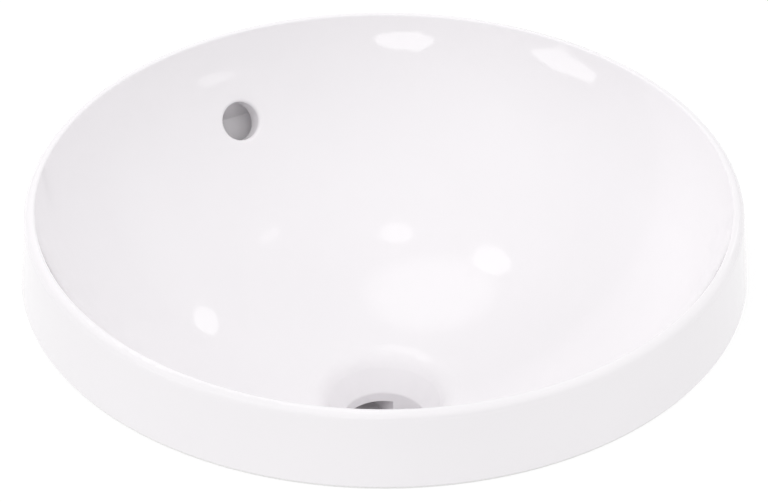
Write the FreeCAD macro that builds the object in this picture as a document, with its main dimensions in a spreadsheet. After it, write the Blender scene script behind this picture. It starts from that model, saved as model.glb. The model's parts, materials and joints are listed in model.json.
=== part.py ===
"""Round inset washbasin with four worktop clamps.

Millimetres, +Z up, +Y towards the overflow. The origin is the centre of the worktop surface
that the rim stands on, so the rim seal's underside is the plane z = 0.
"""

import FreeCAD
import Part
import Sketcher
import math
import os
import re

Vec = FreeCAD.Vector
START, END, CENTRE = range(1, 4)
LEVEL_AXIS, UPRIGHT_AXIS = range(-1, -3, -1)
ORIGIN = (LEVEL_AXIS, START)

DIMENSIONS = (
    ("base_radius", 200, "outside of the rim band at its lower edge"),
    ("band_height", 44.8, "lower edge of the band to the top of the rim"),
    ("band_draft", 3, "radius that the band loses towards the top"),
    ("rim_rounding", 5, "rim's outer rounding, band to top"),
    ("lip_rounding", 1.2, "rim's inner rounding, top to bowl"),
    ("bowl_radius", 204.4, "curve of the bowl, in section"),
    ("bowl_depth", 82.5, "worktop down to the edge of the waste recess"),
    ("wall_thickness", 7.2, "ceramic wall of the bowl"),
    ("recess_radius", 36, "waste recess at its edge"),
    ("recess_depth", 18, "waste recess, edge to outlet"),
    ("recess_rounding", 20, "rounding of the recess edge"),
    ("outlet_radius", 23, "outlet hole"),
    ("outlet_rounding", 1.5, "rounding of the outlet edge"),
    ("foot_radius", 44, "outlet boss"),
    ("foot_depth", 146, "worktop down to the foot"),
    ("foot_blend", 12, "hollow rounding between boss and bowl"),
    ("foot_rounding", 3, "rounding of the foot's outer edge"),
    ("band_rounding", 1, "rounding of the band's lower edge"),
    ("overflow_radius", 11, "overflow hole"),
    ("overflow_drop", 44, "top of the rim down to the overflow hole's centre"),
    ("overflow_rounding", 2, "rounding of the overflow hole's edge"),
    ("channel_width", 31, "overflow channel, inside"),
    ("channel_gap", 9, "overflow channel, front to back inside"),
    ("channel_front", 11, "ceramic between the bowl and the overflow channel"),
    ("channel_wall", 7, "ceramic round the overflow channel"),
    ("channel_back", 4.5, "ceramic behind the overflow channel's head"),
    ("channel_setback", 14, "band's lower edge in to the back of the overflow channel's head"),
    ("channel_rise", 6, "height that the channel and the lugs enter the rim"),
    ("channel_rounding", 5, "rounding of the channel's outer edges"),
    ("sump_inner", 40, "axis to the front of the channel's lower end"),
    ("sump_radius", 58, "axis to the back of the channel's lower end"),
    ("slot_drop", 5.5, "outlet edge down to the overflow slot"),
    ("slot_height", 15, "overflow slot in the outlet"),
    ("seal_thickness", 1.5, "rim seal"),
    ("seal_setback", 1.5, "band's lower edge in to the rim seal"),
    ("seal_width", 6.5, "rim seal, outside to inside"),
    ("clamp_setback", 23, "band's lower edge in to a clamp's stud"),
    ("lug_width", 26, "ceramic lug that holds a stud"),
    ("lug_depth", 26, "worktop down to a lug's underside"),
    ("lug_rounding", 2.5, "rounding of a lug's lower edge"),
    ("plug_radius", 5, "hole for the nylon plug"),
    ("plug_depth", 21, "hole for the nylon plug"),
    ("plug_length", 20, "nylon plug above its collar"),
    ("plug_clearance", 0.05, "plug to hole, and stud to plug"),
    ("collar_radius", 7.5, "plug's collar"),
    ("collar_thickness", 2, "plug's collar"),
    ("stud_radius", 3, "threaded stud"),
    ("stud_engagement", 16, "stud inside the plug"),
    ("stud_reach", 72, "lug's underside down to the stud's end"),
    ("stud_chamfer", 0.7, "both ends of the stud"),
    ("stud_play", 0.3, "stud to claw and washer"),
    ("thread_play", 0.06, "stud to wing nut"),
    ("worktop_thickness", 30, "worktop that the clamps are set for"),
    ("claw_thickness", 3, "steel strip of the claw"),
    ("claw_width", 18, "steel strip of the claw"),
    ("claw_heel", 14.5, "stud axis back to the claw's heel"),
    ("claw_step", 13, "stud axis out to the claw's step"),
    ("claw_toe", 31, "stud axis out to the claw's tip"),
    ("heel_height", 18, "bridge up to the lug's underside"),
    ("bend_radius", 1.5, "inside of the claw's bends"),
    ("pad_thickness", 2.5, "rubber cap on the claw, top"),
    ("pad_skin", 1.5, "rubber cap on the claw, sides and underside"),
    ("pad_grip", 13, "length of the claw's tip inside the cap"),
    ("pad_rounding", 1, "cap's outer edges"),
    ("washer_radius", 9, "washer under the claw"),
    ("washer_thickness", 1.6, "washer under the claw"),
    ("nut_radius", 6, "wing nut's hub at the washer"),
    ("nut_taper", 1.2, "radius that the hub loses"),
    ("nut_height", 9, "wing nut's hub"),
    ("wing_radius", 4.2, "rounded end of a wing"),
    ("wing_reach", 12, "stud axis out to a wing's end centre"),
    ("wing_drop", 13, "washer down to a wing's end centre"),
    ("wing_root", 4.5, "washer down to a wing's root centre"),
    ("wing_thickness", 2.6, "wing"),
)

CLAMP_ANGLES = (45, 135, 225, 315)

doc = FreeCAD.newDocument("inset_basin")
sheet = doc.addObject("Spreadsheet::Sheet", "dims")
for row, (alias, number, note) in enumerate(DIMENSIONS, 1):
    sheet.set(f"A{row}", note)
    sheet.set(f"B{row}", str(number))
    sheet.setAlias(f"B{row}", alias)
doc.recompute()


def size(alias):
    """The number that a cell of the sheet holds."""
    return float(sheet.get(alias))


def cells(text):
    """An expression in which each word that names a cell refers to the sheet."""
    names = {entry[0] for entry in DIMENSIONS}
    return re.sub("[a-z_]+", lambda word: f"dims.{word[0]}" if word[0] in names else word[0], text)


def new_body(label):
    body = doc.addObject("PartDesign::Body", label)
    body.Label = label
    return body


def origin_feature(body, role):
    return next(entry for entry in body.Origin.OriginFeatures if entry.Role == role)


def new_sketch(body, name, plane, turn=0, level=None):
    """A sketch on one of the body's own planes, turned about and lifted along its normal."""
    sketch = body.newObject("Sketcher::SketchObject", name)
    sketch.AttachmentSupport = [(origin_feature(body, plane), "")]
    sketch.MapMode = "FlatFace"
    sketch.AttachmentOffset = FreeCAD.Placement(Vec(), FreeCAD.Rotation(Vec(0, 0, 1), turn))
    if level:
        sketch.setExpression("AttachmentOffset.Base.z", cells(level))
    return sketch


def hold(sketch, constraint, expression):
    """Adds a constraint with a size and ties the size to the sheet."""
    index = sketch.addConstraint(constraint)
    sketch.setExpression(f"Constraints[{index}]", cells(expression))


def pin(sketch, point, right=None, left=None, up=None, down=None):
    """Ties a point's distance from the sketch's axes to the sheet."""
    here = sketch.getPoint(*point)
    if right:
        hold(sketch, Sketcher.Constraint("DistanceX", *ORIGIN, *point, here.x), right)
    if left:
        hold(sketch, Sketcher.Constraint("DistanceX", *point, *ORIGIN, -here.x), left)
    if up:
        hold(sketch, Sketcher.Constraint("DistanceY", *ORIGIN, *point, here.y), up)
    if down:
        hold(sketch, Sketcher.Constraint("DistanceY", *point, *ORIGIN, -here.y), down)


def radius(sketch, curve, expression):
    hold(sketch, Sketcher.Constraint("Radius", curve, sketch.Geometry[curve].Radius), expression)


def concentric(sketch, curve, other):
    sketch.addConstraint(Sketcher.Constraint("Coincident", curve, CENTRE, other, CENTRE))


def arc(start, end, centre, turning):
    """The arc from start to end, turning anticlockwise (1) or clockwise (-1)."""
    first, last = (start, end) if turning > 0 else (end, start)
    circle = Part.Circle(centre, Vec(0, 0, 1), (start - centre).Length)
    return Part.ArcOfCircle(
        circle,
        math.atan2(first.y - centre.y, first.x - centre.x),
        math.atan2(last.y - centre.y, last.x - centre.x),
    )


def outline(sketch, runs, smooth=()):
    """Draws a closed outline and returns each run as its curve, its start and its end.

    A run is its start point, or its start point, an arc's centre and the way the arc turns.
    Straight runs that begin level or upright are kept so. Runs listed in smooth begin tangent
    to the run before.
    """
    drawn = []
    for run, following in zip(runs, runs[1:] + runs[:1]):
        start, end = run[0], following[0]
        if len(run) > 1:
            curve = sketch.addGeometry(arc(start, end, run[1], run[2]))
            ends = (START, END) if run[2] > 0 else (END, START)
        else:
            curve = sketch.addGeometry(Part.LineSegment(start, end))
            ends = (START, END)
            if abs(start.x - end.x) < 1e-7:
                sketch.addConstraint(Sketcher.Constraint("Vertical", curve))
            elif abs(start.y - end.y) < 1e-7:
                sketch.addConstraint(Sketcher.Constraint("Horizontal", curve))
        drawn.append((curve, (curve, ends[0]), (curve, ends[1])))
    for index, (curve, start, end) in enumerate(drawn):
        kind = "Tangent" if index in smooth else "Coincident"
        sketch.addConstraint(Sketcher.Constraint(kind, *drawn[index - 1][2], *start))
    return drawn


def circle(sketch, centre, expression, **pins):
    """A circle on one of the sketch's axes."""
    curve = sketch.addGeometry(Part.Circle(centre, Vec(0, 0, 1), 1))
    radius(sketch, curve, expression)
    place_on_axes(sketch, (curve, CENTRE), **pins)
    return curve


def place_on_axes(sketch, point, **pins):
    """Pins a point, and keeps it on each axis that it isn't pinned away from."""
    if not ({"right", "left"} & set(pins)):
        sketch.addConstraint(Sketcher.Constraint("PointOnObject", *point, UPRIGHT_AXIS))
    if not ({"up", "down"} & set(pins)):
        sketch.addConstraint(Sketcher.Constraint("PointOnObject", *point, LEVEL_AXIS))
    pin(sketch, point, **pins)


def extrude(body, kind, name, sketch, length=None, symmetric=False, backwards=False):
    """A pad or a pocket of the given length, or a pocket right through."""
    feature = body.newObject(f"PartDesign::{kind}", name)
    feature.Profile = sketch
    feature.SideType = "Symmetric" if symmetric else "One side"
    feature.Reversed = backwards
    if length:
        feature.setExpression("Length", cells(length))
    else:
        feature.Type = "ThroughAll"
    return feature


def turned(body, kind, name, sketch, axis="V_Axis"):
    """A revolution or a groove all the way round one of the sketch's axes, or its upright one."""
    feature = body.newObject(f"PartDesign::{kind}", name)
    feature.Profile = sketch
    feature.ReferenceAxis = (sketch, [axis])
    feature.Angle = 360
    return feature


def repeat_at_clamps(body, name, feature):
    pattern = body.newObject("PartDesign::PolarPattern", name)
    pattern.Originals = [feature]
    pattern.Axis = (origin_feature(body, "Z_Axis"), [""])
    pattern.Angle = 360
    pattern.Occurrences = len(CLAMP_ANGLES)
    body.Tip = pattern
    return pattern


def soften(body, name, expression, wanted, kind="Fillet"):
    """Rounds or chamfers the edges of the body so far that the test picks out."""
    doc.recompute()
    base = body.Tip
    picked = [f"Edge{n}" for n, edge in enumerate(base.Shape.Edges, 1) if wanted(edge)]
    feature = body.newObject(f"PartDesign::{kind}", name)
    feature.Base = (base, picked)
    feature.setExpression("Radius" if kind == "Fillet" else "Size", cells(expression))
    return feature


def is_ring(edge, ring_radius, level):
    """Whether an edge is a level circle round the Z axis with this radius and height."""
    curve = edge.Curve
    return (
        isinstance(curve, Part.Circle)
        and abs(curve.Radius - ring_radius) < 1e-3
        and abs(curve.Center.z - level) < 1e-3
        and math.hypot(curve.Center.x, curve.Center.y) < 1e-3
    )


def is_along(edge, axis):
    """Whether an edge is straight and parallel to an axis."""
    return isinstance(edge.Curve, Part.Line) and abs(edge.Curve.Direction.dot(axis)) > 0.999


CHANNEL_REACH = "base_radius - channel_setback"
CLAMP_REACH = "base_radius - clamp_setback"
RIM_REACH = "base_radius - band_draft - rim_rounding"
ROUND_LEVEL = "seal_thickness + band_height - rim_rounding"
LIP_LEVEL = "seal_thickness + band_height - lip_rounding"


class BowlSection:
    """The bowl's curve in section, from the rim's lip to the edge of the waste recess."""

    def __init__(self):
        rounding = size("lip_rounding")
        swing = size("bowl_radius")
        self.top = Vec(
            size("base_radius") - size("band_draft") - size("rim_rounding"),
            size("seal_thickness") + size("band_height"),
        )
        self.lip_centre = self.top - Vec(0, rounding)
        self.edge = Vec(size("recess_radius"), -size("bowl_depth"))
        span = self.lip_centre - self.edge
        along = (swing**2 - (swing + rounding) ** 2 + span.Length**2) / (2 * span.Length)
        across = math.sqrt(swing**2 - along**2)
        ahead = Vec(span).normalize()
        self.centre = self.edge + ahead * along + Vec(-ahead.y, ahead.x) * across
        self.lip = self.lip_centre + (self.centre - self.lip_centre).normalize() * rounding

    def level(self, offset, reach):
        """Height of the bowl's curve, set out by an offset, at a distance from the axis."""
        swing = size("bowl_radius") + offset
        return self.centre.y - math.sqrt(swing**2 - (reach - self.centre.x) ** 2)

    def reach(self, offset, level):
        """Distance from the axis of the bowl's curve, set out by an offset, at a height."""
        swing = size("bowl_radius") + offset
        return self.centre.x + math.sqrt(swing**2 - (level - self.centre.y) ** 2)

    def holds(self, spot):
        """Whether a point of the section, given by its reach and its height, is on the bowl."""
        return abs((spot - self.centre).Length - size("bowl_radius")) < 1e-3

    def guide(self, sketch):
        """Draws the curve as a construction line."""
        curve = sketch.addGeometry(arc(self.edge, self.lip, self.centre, 1), True)
        self.tie(sketch, curve, (curve, END), (curve, START))
        return curve

    def tie(self, sketch, curve, lip, edge):
        """Ties the curve to the sheet. It begins at the recess and runs smoothly into the lip."""
        rounding = sketch.addGeometry(arc(self.top, self.lip, self.lip_centre, 1), True)
        radius(sketch, rounding, "lip_rounding")
        pin(sketch, (rounding, CENTRE), right=RIM_REACH, up=LIP_LEVEL)
        sketch.addConstraint(Sketcher.Constraint("Vertical", rounding, CENTRE, rounding, START))
        sketch.addConstraint(Sketcher.Constraint("Tangent", rounding, END, *lip))
        radius(sketch, curve, "bowl_radius")
        pin(sketch, edge, right="recess_radius", down="bowl_depth")


def make_basin():
    body = new_body("basin_body")
    bowl = BowlSection()
    wall = size("wall_thickness")
    foot = -size("foot_depth")
    seat = size("seal_thickness")
    rounding = size("rim_rounding")

    sketch = new_sketch(body, "outer_form", "XZ_Plane")
    guide = bowl.guide(sketch)
    blend_centre = Vec(size("foot_radius") + size("foot_blend"), 0)
    blend_centre.y = bowl.level(wall + size("foot_blend"), blend_centre.x)
    under = blend_centre + (bowl.centre - blend_centre).normalize() * size("foot_blend")
    corner = Vec(size("base_radius"), seat)
    round_centre = bowl.top - Vec(0, rounding)
    span = round_centre - corner
    swing = math.atan2(span.y, span.x) - math.asin(rounding / span.Length)
    band_top = corner + Vec(math.cos(swing), math.sin(swing)) * math.sqrt(span.Length**2 - rounding**2)
    runs = [
        (Vec(0, foot),),
        (Vec(size("foot_radius"), foot),),
        (Vec(size("foot_radius"), blend_centre.y), blend_centre, -1),
        (under, bowl.centre, 1),
        (Vec(bowl.reach(wall, seat), seat),),
        (corner,),
        (band_top, round_centre, 1),
        (bowl.top, bowl.lip_centre, 1),
        (bowl.lip,),
        (Vec(0, bowl.lip.y),),
    ]
    drawn = outline(sketch, runs, smooth=(2, 3, 6, 7))
    starts = [run[1] for run in drawn]
    place_on_axes(sketch, starts[0], down="foot_depth")
    pin(sketch, starts[1], right="foot_radius")
    radius(sketch, drawn[2][0], "foot_blend")
    radius(sketch, drawn[3][0], "bowl_radius + wall_thickness")
    concentric(sketch, drawn[3][0], guide)
    pin(sketch, starts[5], right="base_radius", up="seal_thickness")
    radius(sketch, drawn[6][0], "rim_rounding")
    pin(sketch, (drawn[6][0], CENTRE), right=RIM_REACH, up=ROUND_LEVEL)
    radius(sketch, drawn[7][0], "lip_rounding")
    pin(sketch, (drawn[7][0], CENTRE), right=RIM_REACH)
    sketch.addConstraint(Sketcher.Constraint("Horizontal", *starts[8], guide, END))
    turned(body, "Revolution", "outer_form_turned", sketch)

    sketch = new_sketch(body, "lug_plan", "XY_Plane", CLAMP_ANGLES[0], "-lug_depth")
    half = size("lug_width") / 2
    stud = Vec(size("base_radius") - size("clamp_setback"), 0)
    root = stud - Vec(4 * half, 0)
    across = Vec(0, half)
    drawn = outline(
        sketch,
        [(root - across,), (stud - across, stud, 1), (stud + across,), (root + across,)],
        smooth=(1, 2),
    )
    place_on_axes(sketch, (drawn[1][0], CENTRE), right=CLAMP_REACH)
    radius(sketch, drawn[1][0], "lug_width / 2")
    pin(sketch, drawn[0][1], right=CLAMP_REACH + " - 2 * lug_width")
    lug = extrude(body, "Pad", "lug", sketch, "lug_depth + seal_thickness + channel_rise")
    repeat_at_clamps(body, "lugs", lug)

    def on_lug_rim(edge):
        flat = all(abs(vertex.Z + size("lug_depth")) < 1e-3 for vertex in edge.Vertexes)
        return flat and not is_ring(edge, bowl.reach(wall, -size("lug_depth")), -size("lug_depth"))

    soften(body, "lug_rims", "lug_rounding", on_lug_rim)

    sketch = new_sketch(body, "channel_outside", "YZ_Plane")
    guide = bowl.guide(sketch)
    front = size("channel_front")
    gap = front + size("channel_gap")
    outside = gap + size("channel_wall")
    head = size("base_radius") - size("channel_setback")
    back = head + size("channel_back")
    top = seat + size("channel_rise")
    sump_back = size("sump_radius") + size("channel_wall")
    sump_floor = (
        -size("bowl_depth")
        - size("recess_depth")
        - size("slot_drop")
        - size("slot_height")
        - size("channel_wall")
    )
    drawn = outline(
        sketch,
        [
            (Vec(0, top),),
            (Vec(0, sump_floor),),
            (Vec(sump_back, sump_floor),),
            (Vec(sump_back, bowl.level(outside, sump_back)), bowl.centre, 1),
            (Vec(back, bowl.level(outside, back)),),
            (Vec(back, top),),
        ],
    )
    place_on_axes(
        sketch,
        drawn[1][1],
        down="bowl_depth + recess_depth + slot_drop + slot_height + channel_wall",
    )
    pin(sketch, drawn[2][1], right="sump_radius + channel_wall")
    radius(sketch, drawn[3][0], "bowl_radius + channel_front + channel_gap + channel_wall")
    concentric(sketch, drawn[3][0], guide)
    pin(sketch, drawn[5][1], right=CHANNEL_REACH + " + channel_back", up="seal_thickness + channel_rise")
    extrude(body, "Pad", "channel_block", sketch, "channel_width + 2 * channel_wall", symmetric=True)

    side = size("channel_width") / 2 + size("channel_wall")

    def on_channel_corner(edge):
        middle = edge.valueAt((edge.FirstParameter + edge.LastParameter) / 2)
        swing = math.hypot(middle.y - bowl.centre.x, middle.z - bowl.centre.y)
        behind = min(abs(middle.y - back), abs(middle.y - sump_back)) < 1e-3
        curved = abs(swing - size("bowl_radius") - outside) < 1e-3
        return abs(abs(middle.x) - side) < 1e-3 and middle.z < seat and (behind or curved)

    soften(body, "channel_corners", "channel_rounding", on_channel_corner)

    sketch = new_sketch(body, "bowl_form", "XZ_Plane")
    above = seat + size("band_height") + rounding
    below = foot - rounding
    outlet = Vec(size("outlet_radius"), -size("bowl_depth") - size("recess_depth"))
    drawn = outline(
        sketch,
        [
            (bowl.lip, bowl.centre, -1),
            (bowl.edge,),
            (outlet,),
            (Vec(outlet.x, below),),
            (Vec(0, below),),
            (Vec(0, above),),
            (Vec(bowl.lip.x, above),),
        ],
    )
    bowl.tie(sketch, drawn[0][0], drawn[0][1], drawn[1][1])
    pin(sketch, drawn[2][1], right="outlet_radius", down="bowl_depth + recess_depth")
    place_on_axes(sketch, drawn[4][1], down="foot_depth + rim_rounding")
    pin(sketch, drawn[5][1], up="seal_thickness + band_height + rim_rounding")
    turned(body, "Groove", "bowl", sketch)

    sketch = new_sketch(body, "channel_inside", "YZ_Plane")
    guide = bowl.guide(sketch)
    slot_top = -size("bowl_depth") - size("recess_depth") - size("slot_drop")
    slot_floor = slot_top - size("slot_height")
    drawn = outline(
        sketch,
        [
            (Vec(head, bowl.level(front, head)),),
            (Vec(head, bowl.level(gap, head)), bowl.centre, -1),
            (Vec(size("sump_radius"), bowl.level(gap, size("sump_radius"))),),
            (Vec(size("sump_radius"), slot_floor),),
            (Vec(0, slot_floor),),
            (Vec(0, slot_top),),
            (Vec(size("sump_inner"), slot_top),),
            (Vec(size("sump_inner"), bowl.level(front, size("sump_inner"))), bowl.centre, 1),
        ],
    )
    pin(sketch, drawn[0][1], right=CHANNEL_REACH)
    radius(sketch, drawn[1][0], "bowl_radius + channel_front + channel_gap")
    concentric(sketch, drawn[1][0], guide)
    pin(sketch, drawn[3][1], right="sump_radius")
    place_on_axes(sketch, drawn[4][1], down="bowl_depth + recess_depth + slot_drop + slot_height")
    pin(sketch, drawn[5][1], down="bowl_depth + recess_depth + slot_drop")
    pin(sketch, drawn[6][1], right="sump_inner")
    radius(sketch, drawn[7][0], "bowl_radius + channel_front")
    concentric(sketch, drawn[7][0], guide)
    extrude(body, "Pocket", "channel", sketch, "channel_width", symmetric=True)

    sketch = new_sketch(body, "overflow_section", "YZ_Plane")
    guide = bowl.guide(sketch)
    overflow = Vec(0, seat + size("band_height") - size("overflow_drop"))
    overflow.x = bowl.reach(0, overflow.y)
    ahead = (overflow - bowl.centre).normalize()
    near = overflow - ahead * size("overflow_radius")
    far = overflow + ahead * (front + size("channel_gap") / 8)
    across = Vec(ahead.y, -ahead.x) * size("overflow_radius")
    axis = sketch.addGeometry(Part.LineSegment(bowl.centre, overflow), True)
    sketch.addConstraint(Sketcher.Constraint("Coincident", axis, START, guide, CENTRE))
    sketch.addConstraint(Sketcher.Constraint("PointOnObject", axis, END, guide))
    pin(sketch, (axis, END), up="seal_thickness + band_height - overflow_drop")
    drawn = outline(sketch, [(near,), (far,), (far + across,), (near + across,)])
    sketch.addConstraint(Sketcher.Constraint("PointOnObject", *drawn[0][1], axis))
    sketch.addConstraint(Sketcher.Constraint("PointOnObject", *drawn[1][1], axis))
    for run, kind in zip(drawn[1:], ("Perpendicular", "Parallel", "Perpendicular")):
        sketch.addConstraint(Sketcher.Constraint(kind, run[0], axis))
    for ends, length, expression in (
        (drawn[1][1:], across.Length, "overflow_radius"),
        ((drawn[0][1], (axis, END)), (overflow - near).Length, "overflow_radius"),
        ((drawn[1][1], (axis, END)), (overflow - far).Length, "channel_front + channel_gap / 8"),
    ):
        hold(sketch, Sketcher.Constraint("Distance", *ends[0], *ends[1], length), expression)
    turned(body, "Groove", "overflow_hole", sketch, "Axis0")

    sketch = new_sketch(body, "plug_ring", "XY_Plane", CLAMP_ANGLES[0], "-lug_depth")
    circle(sketch, stud, "plug_radius", right=CLAMP_REACH)
    hole = extrude(body, "Pocket", "plug_hole", sketch, "plug_depth", backwards=True)
    repeat_at_clamps(body, "plug_holes", hole)

    outlet_level = -size("bowl_depth") - size("recess_depth")
    rings = (
        ("recess_edge", "recess_rounding", size("recess_radius"), -size("bowl_depth")),
        ("outlet_edge", "outlet_rounding", size("outlet_radius"), outlet_level),
        ("foot_edge", "foot_rounding", size("foot_radius"), foot),
        ("band_edge", "band_rounding", size("base_radius"), seat),
    )
    for name, rounding, ring_radius, level in rings:
        soften(body, name, rounding, lambda edge: is_ring(edge, ring_radius, level))

    def on_overflow(edge):
        middle = edge.valueAt((edge.FirstParameter + edge.LastParameter) / 2)
        off_axis = middle.distanceToLine(Vec(0, overflow.x, overflow.y), Vec(0, ahead.x, ahead.y))
        on_rim = abs(off_axis - size("overflow_radius")) < 1e-3
        return on_rim and middle.y > 0 and bowl.holds(Vec(math.hypot(middle.x, middle.y), middle.z))

    soften(body, "overflow_edge", "overflow_rounding", on_overflow)
    return body


def rectangle(sketch, low, high):
    """A level rectangle between two corners, each given by its pins."""
    corners = []
    for stride, pins in enumerate((low, high), 1):
        side = -stride if "left" in pins else stride if "right" in pins else 0
        level = -stride if "down" in pins else stride if "up" in pins else 0
        corners.append(Vec(side, level))
    first, last = corners
    runs = [(first,), (Vec(last.x, first.y),), (last,), (Vec(first.x, last.y),)]
    drawn = outline(sketch, runs)
    place_on_axes(sketch, drawn[0][1], **low)
    place_on_axes(sketch, drawn[2][1], **high)


def make_seal():
    body = new_body("rim_seal")
    sketch = new_sketch(body, "seal_section", "XZ_Plane")
    rectangle(
        sketch,
        {"right": "base_radius - seal_setback - seal_width"},
        {"right": "base_radius - seal_setback", "up": "seal_thickness"},
    )
    turned(body, "Revolution", "seal_ring", sketch)


BRIDGE = "lug_depth + heel_height"
NUT_SEAT = BRIDGE + " + claw_thickness + washer_thickness"
TOE = "worktop_thickness + pad_thickness"


def make_plug(label):
    body = new_body(label)
    sketch = new_sketch(body, "plug_section", "XZ_Plane")
    lug = -size("lug_depth")
    bore = size("stud_radius") + size("plug_clearance")
    outside = size("plug_radius") - size("plug_clearance")
    drawn = outline(
        sketch,
        [
            (Vec(bore, lug - size("collar_thickness")),),
            (Vec(size("collar_radius"), lug - size("collar_thickness")),),
            (Vec(size("collar_radius"), lug),),
            (Vec(outside, lug),),
            (Vec(outside, lug + size("plug_length")),),
            (Vec(0, lug + size("plug_length")),),
            (Vec(0, lug + size("stud_engagement")),),
            (Vec(bore, lug + size("stud_engagement")),),
        ],
    )
    pin(sketch, drawn[0][1], right="stud_radius + plug_clearance", down="lug_depth + collar_thickness")
    pin(sketch, drawn[2][1], right="collar_radius", down="lug_depth")
    pin(sketch, drawn[4][1], right="plug_radius - plug_clearance", down="lug_depth - plug_length")
    place_on_axes(sketch, drawn[6][1], down="lug_depth - stud_engagement")
    turned(body, "Revolution", "plug", sketch)
    return body


def make_stud(label):
    body = new_body(label)
    sketch = new_sketch(body, "stud_ring", "XY_Plane", level="-lug_depth - stud_reach")
    circle(sketch, Vec(), "stud_radius")
    extrude(body, "Pad", "stud", sketch, "stud_reach + stud_engagement")
    soften(body, "stud_ends", "stud_chamfer", lambda edge: isinstance(edge.Curve, Part.Circle), "Chamfer")
    return body


def make_claw(label):
    body = new_body(label)
    strip = size("claw_thickness")
    bridge = -size("lug_depth") - size("heel_height")
    toe = -size("worktop_thickness") - size("pad_thickness")
    heel = -size("claw_heel")
    step = size("claw_step")
    hollow_bends = [(heel + strip, bridge), (step, bridge), (step + strip, toe - strip)]
    outer_bends = [(heel, bridge - strip), (step + strip, bridge - strip), (step, toe)]
    sketch = new_sketch(body, "claw_section", "XZ_Plane")
    drawn = outline(
        sketch,
        [
            (Vec(*outer_bends[0]),),
            (Vec(*outer_bends[1]),),
            (Vec(*hollow_bends[2]),),
            (Vec(size("claw_toe"), toe - strip),),
            (Vec(size("claw_toe"), toe),),
            (Vec(*outer_bends[2]),),
            (Vec(*hollow_bends[1]),),
            (Vec(*hollow_bends[0]),),
            (Vec(heel + strip, -size("lug_depth")),),
            (Vec(heel, -size("lug_depth")),),
        ],
    )
    pin(sketch, drawn[0][1], left="claw_heel", down=BRIDGE + " + claw_thickness")
    pin(sketch, drawn[2][1], right="claw_step + claw_thickness", down=TOE + " + claw_thickness")
    pin(sketch, drawn[4][1], right="claw_toe", down=TOE)
    pin(sketch, drawn[6][1], right="claw_step", down=BRIDGE)
    pin(sketch, drawn[8][1], left="claw_heel - claw_thickness", down="lug_depth")
    extrude(body, "Pad", "claw", sketch, "claw_width", symmetric=True)

    def bends(places):
        def picked(edge):
            middle = edge.valueAt((edge.FirstParameter + edge.LastParameter) / 2)
            near = any(math.hypot(middle.x - x, middle.z - z) < 1e-3 for x, z in places)
            return near and is_along(edge, Vec(0, 1, 0))

        return picked

    soften(body, "hollow_bends", "bend_radius", bends(hollow_bends))
    soften(body, "outer_bends", "bend_radius + claw_thickness", bends(outer_bends))
    sketch = new_sketch(body, "claw_hole", "XY_Plane")
    circle(sketch, Vec(), "stud_radius + stud_play")
    extrude(body, "Pocket", "stud_hole", sketch, symmetric=True)
    return body


def make_pad(label):
    body = new_body(label)
    sketch = new_sketch(body, "cap_section", "XZ_Plane")
    rectangle(
        sketch,
        {"right": "claw_toe - pad_grip", "down": TOE + " + claw_thickness + pad_skin"},
        {"right": "claw_toe + pad_skin", "down": "worktop_thickness"},
    )
    extrude(body, "Pad", "cap", sketch, "claw_width + 2 * pad_skin", symmetric=True)
    tip = size("claw_toe") + size("pad_skin")

    def at_tip(edge):
        return all(abs(vertex.X - tip) < 1e-3 for vertex in edge.Vertexes)

    soften(body, "cap_edges", "pad_rounding", at_tip)
    sketch = new_sketch(body, "cap_pocket", "XZ_Plane")
    rectangle(
        sketch,
        {"right": "claw_toe - pad_grip", "down": TOE + " + claw_thickness"},
        {"right": "claw_toe", "down": TOE},
    )
    extrude(body, "Pocket", "cap_hollow", sketch, "claw_width", symmetric=True)
    return body


def make_washer(label):
    body = new_body(label)
    sketch = new_sketch(body, "washer_rings", "XY_Plane", level=f"-({NUT_SEAT})")
    circle(sketch, Vec(), "washer_radius")
    circle(sketch, Vec(), "stud_radius + stud_play")
    extrude(body, "Pad", "washer", sketch, "washer_thickness")
    return body


def make_wing_nut(label):
    body = new_body(label)
    seat = -size("lug_depth") - size("heel_height") - size("claw_thickness") - size("washer_thickness")
    bore = size("stud_radius") + size("thread_play")
    sketch = new_sketch(body, "hub_section", "XZ_Plane")
    drawn = outline(
        sketch,
        [
            (Vec(bore, seat - size("nut_height")),),
            (Vec(size("nut_radius") - size("nut_taper"), seat - size("nut_height")),),
            (Vec(size("nut_radius"), seat),),
            (Vec(bore, seat),),
        ],
    )
    pin(sketch, drawn[1][1], right="nut_radius - nut_taper", down=NUT_SEAT + " + nut_height")
    pin(sketch, drawn[2][1], right="nut_radius", down=NUT_SEAT)
    pin(sketch, drawn[3][1], right="stud_radius + thread_play")
    turned(body, "Revolution", "hub", sketch)

    sketch = new_sketch(body, "wing_outline", "XZ_Plane")
    root = Vec(size("wing_radius"), seat - size("wing_root"))
    end = Vec(size("wing_reach"), seat - size("wing_drop"))
    ahead = (end - root).normalize()
    aside = Vec(-ahead.y, ahead.x) * size("wing_radius")
    drawn = outline(
        sketch,
        [(root - aside,), (end - aside, end, 1), (end + aside,), (root + aside, root, 1)],
        smooth=(0, 1, 2, 3),
    )
    radius(sketch, drawn[1][0], "wing_radius")
    pin(sketch, (drawn[1][0], CENTRE), right="wing_reach", down=NUT_SEAT + " + wing_drop")
    pin(sketch, (drawn[3][0], CENTRE), right="wing_radius", down=NUT_SEAT + " + wing_root")
    wing = extrude(body, "Pad", "wing", sketch, "wing_thickness", symmetric=True)
    pair = body.newObject("PartDesign::Mirrored", "wings")
    pair.Originals = [wing]
    pair.MirrorPlane = (origin_feature(body, "YZ_Plane"), [""])
    body.Tip = pair
    sketch = new_sketch(body, "nut_bore", "XY_Plane")
    circle(sketch, Vec(), "stud_radius + thread_play")
    extrude(body, "Pocket", "bore", sketch, symmetric=True)
    return body


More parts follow.
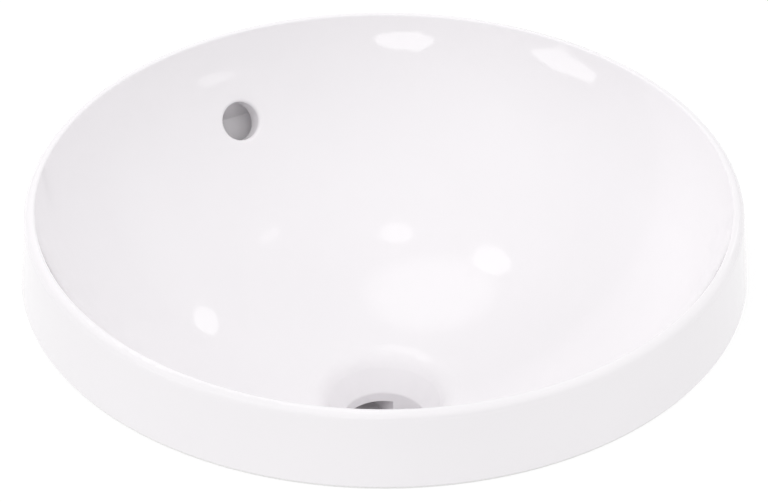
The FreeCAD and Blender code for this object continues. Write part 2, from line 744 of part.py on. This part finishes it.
CLAMP_PIECES = (
    ("plug", make_plug),
    ("stud", make_stud),
    ("claw", make_claw),
    ("claw_pad", make_pad),
    ("washer", make_washer),
    ("wing_nut", make_wing_nut),
)


def make_clamps():
    for number, angle in enumerate(CLAMP_ANGLES, 1):
        for name, make in CLAMP_PIECES:
            body = make(f"clamp_{number}_{name}")
            body.Placement = FreeCAD.Placement(Vec(), FreeCAD.Rotation(Vec(0, 0, 1), angle))
            body.setExpression("Placement.Base.x", cells(f"({CLAMP_REACH}) * cos({angle} deg)"))
            body.setExpression("Placement.Base.y", cells(f"({CLAMP_REACH}) * sin({angle} deg)"))


make_basin()
make_seal()
make_clamps()
doc.recompute()
for entry in doc.Objects:
    if {"Invalid", "Error"} & set(entry.State):
        raise RuntimeError(f"{entry.Name} was not built")

os.makedirs("parts", exist_ok=True)
for body in doc.findObjects("PartDesign::Body"):
    if body.Shape.isNull() or not body.Shape.isValid() or len(body.Shape.Solids) != 1:
        raise RuntimeError(f"{body.Label} is not one sound solid")
    body.Shape.exportStep(f"parts/{body.Label}.step")
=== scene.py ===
"""Round inset washbasin, seated in a thin cut-away sheet of white worktop, in plain soft studio light."""

import json
import math

import bmesh
import bpy
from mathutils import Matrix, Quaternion, Vector


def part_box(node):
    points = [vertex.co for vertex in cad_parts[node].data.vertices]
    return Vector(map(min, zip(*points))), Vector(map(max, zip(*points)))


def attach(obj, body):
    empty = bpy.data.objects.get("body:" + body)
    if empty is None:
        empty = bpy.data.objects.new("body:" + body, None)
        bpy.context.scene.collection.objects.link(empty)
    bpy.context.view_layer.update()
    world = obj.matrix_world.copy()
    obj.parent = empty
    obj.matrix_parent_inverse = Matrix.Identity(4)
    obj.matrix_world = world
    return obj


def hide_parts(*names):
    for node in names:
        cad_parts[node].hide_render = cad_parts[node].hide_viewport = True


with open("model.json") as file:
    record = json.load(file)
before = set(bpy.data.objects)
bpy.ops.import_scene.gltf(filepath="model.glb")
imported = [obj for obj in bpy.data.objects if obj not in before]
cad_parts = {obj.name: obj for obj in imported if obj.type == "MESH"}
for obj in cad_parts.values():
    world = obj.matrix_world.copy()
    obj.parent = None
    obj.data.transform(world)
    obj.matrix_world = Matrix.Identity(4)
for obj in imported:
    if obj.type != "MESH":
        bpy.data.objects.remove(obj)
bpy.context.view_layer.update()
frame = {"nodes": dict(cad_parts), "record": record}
NODES = frame["nodes"]
CLAMPS = range(1, 5)

# The photograph's view: angles in degrees, metres, and where the centre of the rim's seat is seen,
# in pixels of the 768 x 502 frame.
VIEW_AZIMUTH, VIEW_ELEVATION = -29.17, 34.75
VIEW_DISTANCE = 3.0
FOCAL_PIXELS = 5439.1
FRAME_WIDTH, FRAME_HEIGHT = 768, 502
SENSOR_WIDTH = 36.0
SEEN_AT = (384.04, 268.45)
RIM_SEAT = 0.0015

# Soft light from all round: degrees clockwise from the camera, degrees up,
# and the brightness of the broad patch there.
PATCHES = (
    (90, 8, 0.43),
    (135, 8, 0.42),
    (180, 8, 0.19),
    (225, 8, 0.24),
    (270, 8, 0.11),
    (315, 8, 0.29),
    (0, 48, 0.60),
    (60, 48, 0.24),
    (120, 48, 0.35),
    (180, 48, 0.07),
    (240, 48, 0.25),
    (300, 48, 0.60),
    (0, 90, 0.06),
)
PATCH_FOCUS = 6.0

# Lamps mirrored in the glaze: the spot on the bowl in metres, degrees clockwise from the camera, degrees up,
# degrees across, degrees high, roll in degrees, and brightness. The fill and the key light without
# being mirrored. Each lamp stands a little behind the one before, so that nested lamps add up.
LAMPS = {
    "lamp_high_1": ((-0.0713, 0.0753, -0.0572), 135.9, 31.2, 10.4, 5.1, 134.0, 1.15),
    "lamp_high_2": ((-0.0080, 0.1189, -0.0470), 85.5, 57.2, 8.0, 3.2, 153.0, 0.7),
    "lamp_high_3": ((0.0599, 0.0932, -0.0528), -17.7, 78.4, 9.3, 6.5, 13.0, 1.05),
    "lamp_high_4": ((0.0958, 0.0461, -0.0556), -100.4, 60.0, 12.7, 7.1, 44.0, 1.2),
    "lamp_low_2": ((-0.0086, 0.1795, 0.0237), 57.5, 15.9, 13.0, 3.4, 162.0, 0.9),
    "lamp_low_3": ((0.0992, 0.1538, 0.0302), -6.6, 17.5, 17.0, 4.6, 2.0, 2.1),
    "lamp_low_4": ((0.1641, 0.0842, 0.0334), -60.0, 10.0, 22.0, 5.2, 8.0, 1.8),
    "softbox_edge": ((0.0591, 0.0509, -0.0701), -135.2, 72.6, 35.0, 28.0, 115.0, 0.27),
    "softbox_middle": ((0.0591, 0.0509, -0.0701), -135.2, 72.6, 31.0, 24.0, 115.0, 0.27),
    "softbox_heart": ((0.0591, 0.0509, -0.0701), -135.2, 72.6, 26.0, 19.0, 115.0, 0.20),
    "fill": ((0.1302, -0.0694, -0.0219), -146.0, 21.0, 24.0, 15.0, 0.0, 5.0),
    "key": ((0.0000, 0.1600, 0.0000), 24.0, 57.0, 10.0, 8.0, 0.0, 4.5),
}
UNMIRRORED = {"fill", "key"}
LAMP_DISTANCE, LAMP_STAGGER = 1.6, 0.01


def view_axes(azimuth, elevation):
    """Right, up and backward directions of a view."""
    a, e = math.radians(azimuth), math.radians(elevation)
    back = Vector((math.sin(a) * math.cos(e), -math.cos(a) * math.cos(e), math.sin(e)))
    right = Vector((math.cos(a), math.sin(a), 0.0))
    return right, back.cross(right), back


def make_camera():
    """The photograph's camera."""
    right, up, back = view_axes(VIEW_AZIMUTH, VIEW_ELEVATION)
    data = bpy.data.cameras.new("photo_camera")
    data.sensor_width = SENSOR_WIDTH
    data.lens = FOCAL_PIXELS / FRAME_WIDTH * SENSOR_WIDTH
    data.dof.use_dof = False
    camera = bpy.data.objects.new("photo_camera", data)
    bpy.context.scene.collection.objects.link(camera)
    aside = (SEEN_AT[0] - FRAME_WIDTH / 2) / FOCAL_PIXELS * VIEW_DISTANCE
    above = (FRAME_HEIGHT / 2 - SEEN_AT[1]) / FOCAL_PIXELS * VIEW_DISTANCE
    camera.location = Vector((0, 0, RIM_SEAT)) + back * VIEW_DISTANCE - right * aside - up * above
    camera.rotation_euler = (-back).to_track_quat("-Z", "Y").to_euler()
    bpy.context.scene.camera = camera


def bearing(turn, elevation):
    """The direction so many degrees clockwise from the camera, seen from above, and so many up."""
    return view_axes(VIEW_AZIMUTH + turn, elevation)[2]


class Shader:
    """A node material under construction."""

    def __init__(self, name):
        self.material = bpy.data.materials.new(name)
        self.material.use_nodes = True
        self.tree = self.material.node_tree
        self.surface = self.tree.nodes["Principled BSDF"]
        self.place = self.add("ShaderNodeTexCoord").outputs["Object"]

    def add(self, kind, **settings):
        node = self.tree.nodes.new(kind)
        for name, value in settings.items():
            setattr(node, name, value)
        return node

    def link(self, source, target):
        self.tree.links.new(source, target)

    def noise(self, scale, detail=2.0, roughness=0.5, distortion=0.0):
        node = self.add("ShaderNodeTexNoise")
        self.link(self.place, node.inputs["Vector"])
        node.inputs["Scale"].default_value = scale
        node.inputs["Detail"].default_value = detail
        node.inputs["Roughness"].default_value = roughness
        node.inputs["Distortion"].default_value = distortion
        return node.outputs["Fac"]

    def ramp(self, source, low, high, stops=(0.3, 0.7)):
        node = self.add("ShaderNodeValToRGB")
        for element, position, colour in zip(node.color_ramp.elements, stops, (low, high)):
            element.position = position
            element.color = (*colour, 1.0)
        self.link(source, node.inputs["Fac"])
        return node.outputs["Color"]

    def spread(self, source, low, high, near=0.3, far=0.7):
        """The source's values between near and far, mapped on low to high."""
        node = self.add("ShaderNodeMapRange")
        self.link(source, node.inputs["Value"])
        for name, value in (("From Min", near), ("From Max", far), ("To Min", low), ("To Max", high)):
            node.inputs[name].default_value = value
        return node.outputs["Result"]

    def mix(self, share, first, second):
        """Between two colour sockets, by a share."""
        node = self.add("ShaderNodeMix", data_type="RGBA")
        for source, socket in ((share, 0), (first, 6), (second, 7)):
            self.link(source, node.inputs[socket])
        return node.outputs[2]

    def blend(self, share, first, number):
        """Between a value socket and a number, by a share."""
        node = self.add("ShaderNodeMix", data_type="FLOAT")
        self.link(share, node.inputs[0])
        self.link(first, node.inputs[2])
        node.inputs[3].default_value = number
        return node.outputs[0]

    def bump(self, height, depth):
        node = self.add("ShaderNodeBump")
        node.inputs["Distance"].default_value = depth
        self.link(height, node.inputs["Height"])
        return node.outputs["Normal"]

    def feed(self, **sockets):
        """Links sockets to the surface's inputs of these names."""
        for name, source in sockets.items():
            self.link(source, self.surface.inputs[name.replace("_", " ")])

    def height(self):
        """How high a point lies in the part's frame."""
        node = self.add("ShaderNodeSeparateXYZ")
        self.link(self.place, node.inputs[0])
        return node.outputs["Z"]


# The foot's underside is bare up to the first of these levels and glazed from the second.
BARE_BELOW, GLAZED_ABOVE = -0.1455, -0.1450


def glazed_ceramic():
    """White glaze, a little wavy, over a body that is left bare under the foot."""
    shader = Shader("glazed_ceramic")
    bare = shader.spread(shader.height(), 1.0, 0.0, BARE_BELOW, GLAZED_ABOVE)
    cloud = shader.noise(9.0, 3.0)
    glaze = shader.ramp(cloud, (0.868, 0.848, 0.868), (0.884, 0.864, 0.884))
    speck = shader.noise(2200.0, 3.0)
    biscuit = shader.ramp(speck, (0.66, 0.63, 0.57), (0.78, 0.75, 0.69))
    sheen = shader.spread(shader.noise(40.0, 3.0), 0.035, 0.075)
    shader.feed(
        Base_Color=shader.mix(bare, glaze, biscuit),
        Roughness=shader.blend(bare, sheen, 0.85),
        Normal=shader.bump(shader.noise(14.0, 1.0), 0.00012),
    )
    shader.surface.inputs["IOR"].default_value = 1.52
    return shader.material


def zinc_plated_steel():
    """Bright zinc: cloudy, faintly blue and straw, with fine scratches."""
    shader = Shader("zinc_plated_steel")
    cloud = shader.noise(160.0, 4.0, 0.6)
    colour = shader.ramp(cloud, (0.52, 0.54, 0.58), (0.70, 0.69, 0.65))
    scratch = shader.noise(1500.0, 2.0, 0.6, 1.5)
    shader.feed(
        Base_Color=colour,
        Roughness=shader.spread(shader.noise(420.0, 3.0), 0.24, 0.44),
        Normal=shader.bump(scratch, 0.00003),
    )
    shader.surface.inputs["Metallic"].default_value = 1.0
    return shader.material


def nylon():
    """Natural moulded nylon, faintly translucent."""
    shader = Shader("nylon")
    colour = shader.ramp(shader.noise(120.0, 2.0), (0.78, 0.76, 0.69), (0.85, 0.83, 0.78))
    shader.feed(
        Base_Color=colour,
        Roughness=shader.spread(shader.noise(500.0, 2.0), 0.38, 0.55),
        Normal=shader.bump(shader.noise(1800.0, 2.0), 0.00004),
    )
    shader.surface.inputs["Subsurface Weight"].default_value = 0.15
    shader.surface.inputs["Subsurface Scale"].default_value = 0.002
    return shader.material


def black_rubber():
    """Matt moulded rubber."""
    shader = Shader("black_rubber")
    colour = shader.ramp(shader.noise(260.0, 3.0), (0.016, 0.016, 0.017), (0.036, 0.036, 0.037))
    shader.feed(
        Base_Color=colour,
        Roughness=shader.spread(shader.noise(700.0, 2.0), 0.62, 0.85),
        Normal=shader.bump(shader.noise(2600.0, 3.0), 0.00006),
    )
    return shader.material


def seal_strip():
    """White closed-cell foam."""
    shader = Shader("seal_strip")
    cells = shader.add("ShaderNodeTexVoronoi")
    cells.inputs["Scale"].default_value = 1600.0
    shader.link(shader.place, cells.inputs["Vector"])
    distance = cells.outputs["Distance"]
    shader.feed(
        Base_Color=shader.ramp(distance, (0.88, 0.88, 0.87), (0.78, 0.78, 0.77), (0.1, 0.8)),
        Roughness=shader.spread(shader.noise(900.0, 2.0), 0.80, 0.95),
        Normal=shader.bump(distance, 0.00012),
    )
    return shader.material


FINISHES = {
    "glazed_ceramic": glazed_ceramic(),
    "zinc_plated_steel": zinc_plated_steel(),
    "nylon": nylon(),
    "black_rubber": black_rubber(),
    "seal_strip": seal_strip(),
}


def dress_cad_nodes():
    """Gives each CAD node the finish that its record names."""
    for part in frame["record"]["subparts"]:
        for slot in NODES[part["node"]].material_slots:
            slot.material = FINISHES[part["material_slot"]]


def new_mesh_object(name, build):
    """An object whose mesh a function fills through bmesh."""
    mesh = bpy.data.meshes.new(name)
    work = bmesh.new()
    build(work)
    bmesh.ops.recalc_face_normals(work, faces=work.faces)
    work.to_mesh(mesh)
    work.free()
    obj = bpy.data.objects.new(name, mesh)
    bpy.context.scene.collection.objects.link(obj)
    return obj


THREAD_PITCH = 0.001
THREAD_CREST, THREAD_ROOT = 0.003, 0.00239
THREAD_PROFILE = ((0.0, THREAD_ROOT), (0.17, THREAD_ROOT), (0.52, THREAD_CREST), (0.65, THREAD_CREST))
STUD_CHAMFER = 0.0007
THREAD_STEPS = 36
THREAD_CREASE = math.radians(32)
WELD_DISTANCE, SLIVER_LENGTH = 2e-6, 1e-6


def make_stud(number):
    """A threaded stud: the thread's profile carried round a helix, trimmed and chamfered at both ends."""
    node = f"clamp_{number}_stud"
    low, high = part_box(node)
    axis = (low + high) / 2

    def build(work):
        turns = math.ceil((high.z - low.z) / THREAD_PITCH) + 2
        rows = []
        for step in range(turns * THREAD_STEPS + 1):
            angle = 2 * math.pi * step / THREAD_STEPS
            row = []
            for share, reach in THREAD_PROFILE:
                level = low.z + THREAD_PITCH * (step / THREAD_STEPS + share - 1)
                level = min(max(level, low.z), high.z)
                end = min(level - low.z, high.z - level)
                reach = min(reach, THREAD_CREST - STUD_CHAMFER + end)
                place = (axis.x + reach * math.cos(angle), axis.y + reach * math.sin(angle), level)
                row.append(work.verts.new(place))
            rows.append(row)
        for step, (row, following) in enumerate(zip(rows, rows[1:])):
            for first in range(len(THREAD_PROFILE) - 1):
                work.faces.new((row[first], following[first], following[first + 1], row[first + 1]))
            upper = step + THREAD_STEPS
            if upper + 1 < len(rows):
                work.faces.new((row[-1], following[-1], rows[upper + 1][0], rows[upper][0]))
        bmesh.ops.remove_doubles(work, verts=work.verts, dist=WELD_DISTANCE)
        bmesh.ops.dissolve_degenerate(work, edges=work.edges, dist=SLIVER_LENGTH)
        open_edges = [edge for edge in work.edges if edge.is_boundary]
        bmesh.ops.holes_fill(work, edges=open_edges)

    stud = new_mesh_object(f"clamp_{number}_threaded_stud", build)
    stud.data.materials.append(FINISHES["zinc_plated_steel"])
    stud.data.shade_smooth()
    stud.data.set_sharp_from_angle(angle=THREAD_CREASE)
    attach(stud, "basin")
    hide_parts(node)


# The stage, in metres. The worktop sheet ends a little behind the basin's middle,
# so far round the cut-out as its overlap says.
WORKTOP_HALF_WIDTH = 0.220
WORKTOP_DEPTH = 0.245
WORKTOP_OVERLAP = math.radians(15)
WORKTOP_THICKNESS = 0.003
CUTOUT_RADIUS, CUTOUT_STEPS = 0.192, 96
FLOOR_LEVEL = -0.1465
FLOOR_RADIUS, FLOOR_STEPS = 30.0, 128
# The worktop's side faces glow less than its top and underside. This is painted shade that makes the sheet's
# edges read darker.
WORKTOP_GLOW, PAINTED_SHADE_EDGE_GLOW, FLOOR_GLOW = 0.78, 0.30, 0.76


def stage_material(name, glow):
    """A pale matt surface that is lit from within as well, as on a light table."""
    shader = Shader(name)
    shader.feed(Base_Color=shader.ramp(shader.noise(3.0), (0.23, 0.23, 0.23), (0.25, 0.25, 0.25)))
    shader.surface.inputs["Roughness"].default_value = 0.9
    shader.surface.inputs["Specular IOR Level"].default_value = 0.0
    shader.surface.inputs["Emission Color"].default_value = (1.0, 1.0, 1.0, 1.0)
    shader.surface.inputs["Emission Strength"].default_value = glow
    return shader.material


def make_stage():
    """The worktop sheet in front and the floor."""
    right, _, back = view_axes(VIEW_AZIMUTH, 0.0)

    def build_worktop(work):
        plan = []
        for step in range(CUTOUT_STEPS + 1):
            share = step / CUTOUT_STEPS
            turn = math.pi * share + WORKTOP_OVERLAP * (2 * share - 1)
            plan.append((right * math.cos(turn) + back * math.sin(turn)) * CUTOUT_RADIUS)
        behind = -back * math.sin(WORKTOP_OVERLAP) * CUTOUT_RADIUS
        far = [
            -right * WORKTOP_HALF_WIDTH + behind,
            -right * WORKTOP_HALF_WIDTH + back * WORKTOP_DEPTH,
            right * WORKTOP_HALF_WIDTH + back * WORKTOP_DEPTH,
            right * WORKTOP_HALF_WIDTH + behind,
        ]
        face = work.faces.new([work.verts.new(point) for point in plan + far])
        lower = bmesh.ops.extrude_face_region(work, geom=[face])
        verts = [item for item in lower["geom"] if isinstance(item, bmesh.types.BMVert)]
        bmesh.ops.translate(work, verts=verts, vec=Vector((0, 0, -WORKTOP_THICKNESS)))

    def build_floor(work):
        bmesh.ops.create_circle(work, cap_ends=True, radius=FLOOR_RADIUS, segments=FLOOR_STEPS)
        bmesh.ops.translate(work, verts=work.verts, vec=Vector((0, 0, FLOOR_LEVEL)))

    worktop = new_mesh_object("worktop_sample", build_worktop)
    worktop.data.materials.append(stage_material("pale_worktop", WORKTOP_GLOW))
    worktop.data.materials.append(stage_material("worktop_edge_painted_shade", PAINTED_SHADE_EDGE_GLOW))
    # Side faces take the dimmer glow: painted shade on the sheet's edges.
    for face in worktop.data.polygons:
        face.material_index = 0 if abs(face.normal.z) > 0.5 else 1
    floor = new_mesh_object("floor", build_floor)
    floor.data.materials.append(stage_material("pale_floor", FLOOR_GLOW))


def make_surroundings():
    """A white room of broad patches, each brightest at its middle and dark on the far side."""
    world = bpy.data.worlds.new("studio")
    world.use_nodes = True
    tree = world.node_tree
    background = tree.nodes["Background"]
    background.inputs["Color"].default_value = (1.0, 1.0, 1.0, 1.0)
    towards = tree.nodes.new("ShaderNodeTexCoord").outputs["Generated"]
    total = None
    for turn, elevation, brightness in PATCHES:
        facing = tree.nodes.new("ShaderNodeVectorMath")
        facing.operation = "DOT_PRODUCT"
        tree.links.new(towards, facing.inputs[0])
        facing.inputs[1].default_value = bearing(turn, elevation)
        share = tree.nodes.new("ShaderNodeMath")
        share.operation = "MULTIPLY_ADD"
        share.inputs[1].default_value = 0.5
        share.inputs[2].default_value = 0.5
        tree.links.new(facing.outputs["Value"], share.inputs[0])
        fall = tree.nodes.new("ShaderNodeMath")
        fall.operation = "POWER"
        fall.inputs[1].default_value = PATCH_FOCUS
        tree.links.new(share.outputs[0], fall.inputs[0])
        weight = tree.nodes.new("ShaderNodeMath")
        weight.operation = "MULTIPLY_ADD"
        weight.inputs[1].default_value = brightness
        weight.inputs[2].default_value = 0.0
        tree.links.new(fall.outputs[0], weight.inputs[0])
        if total:
            tree.links.new(total, weight.inputs[2])
        total = weight.outputs[0]
    tree.links.new(total, background.inputs["Strength"])
    bpy.context.scene.world = world


def make_lamps():
    """Elliptical lamps, each aimed at its spot on the bowl."""
    for order, (name, lamp_values) in enumerate(LAMPS.items()):
        spot, turn, elevation, across, high, roll, brightness = lamp_values
        towards = bearing(turn, elevation)
        distance = LAMP_DISTANCE + LAMP_STAGGER * order
        data = bpy.data.lights.new(name, "AREA")
        data.shape = "ELLIPSE"
        data.size = 2 * distance * math.tan(math.radians(across / 2))
        data.size_y = 2 * distance * math.tan(math.radians(high / 2))
        data.energy = brightness * math.pi * data.size * data.size_y
        lamp = bpy.data.objects.new(name, data)
        lamp.location = Vector(spot) + towards * distance
        aim = (-towards).to_track_quat("-Z", "Y") @ Quaternion((0, 0, 1), math.radians(roll))
        lamp.rotation_euler = aim.to_euler()
        lamp.visible_camera = False
        lamp.visible_glossy = name not in UNMIRRORED
        bpy.context.scene.collection.objects.link(lamp)


dress_cad_nodes()
for clamp in CLAMPS:
    make_stud(clamp)
make_camera()
make_stage()
make_surroundings()
make_lamps()
bpy.context.scene.view_settings.view_transform = "Standard"
